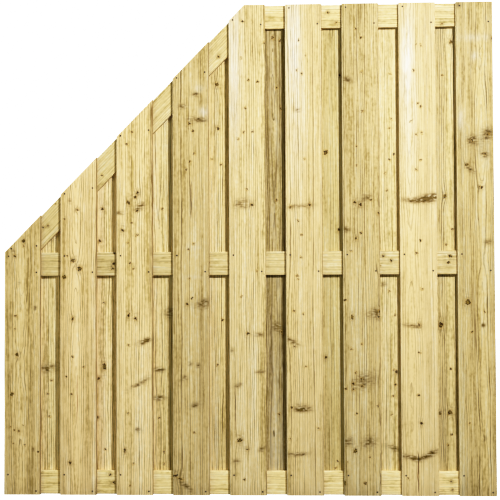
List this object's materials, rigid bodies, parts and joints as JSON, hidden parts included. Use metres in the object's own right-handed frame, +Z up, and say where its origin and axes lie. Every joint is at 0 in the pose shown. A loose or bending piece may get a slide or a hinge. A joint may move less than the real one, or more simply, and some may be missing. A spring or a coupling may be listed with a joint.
{
  "type": "wooden fence panel",
  "caption": "Wooden fence panel: upright boards nailed to both faces of its rails, rear boards behind the spaces between front boards, and a top that slopes down to one side.",
  "frame": {"origin": "middle of the bottom edge, half-way through the thickness, on the ground", "axes": "+X along the fence towards the tall side, +Y from the front face to the rear face, +Z up"},
  "size_m": [1.8, 0.0524, 1.8],
  "materials": {
    "board_wood": "planed, pressure-treated softwood, knotty, with a faint green-yellow tint",
    "rail_wood": "planed, pressure-treated softwood, paler than the boards",
    "nail_steel": "dulled, flat-headed nails"
  },
  "bodies": {
    "root": {"front_board_1": "board_wood", "front_board_2": "board_wood", "front_board_3": "board_wood", "front_board_4": "board_wood", "front_board_5": "board_wood", "front_board_6": "board_wood", "front_board_7": "board_wood", "front_board_8": "board_wood", "front_board_9": "board_wood", "rear_board_1": "board_wood", "rear_board_2": "board_wood", "rear_board_3": "board_wood", "rear_board_4": "board_wood", "rear_board_5": "board_wood", "rear_board_6": "board_wood", "rear_board_7": "board_wood", "rear_board_8": "board_wood", "bottom_rail": "rail_wood", "middle_rail": "rail_wood", "top_rail": "rail_wood", "sloping_rail": "rail_wood", "front_nails": "nail_steel", "rear_nails": "nail_steel"}
  },
  "joints": []
}
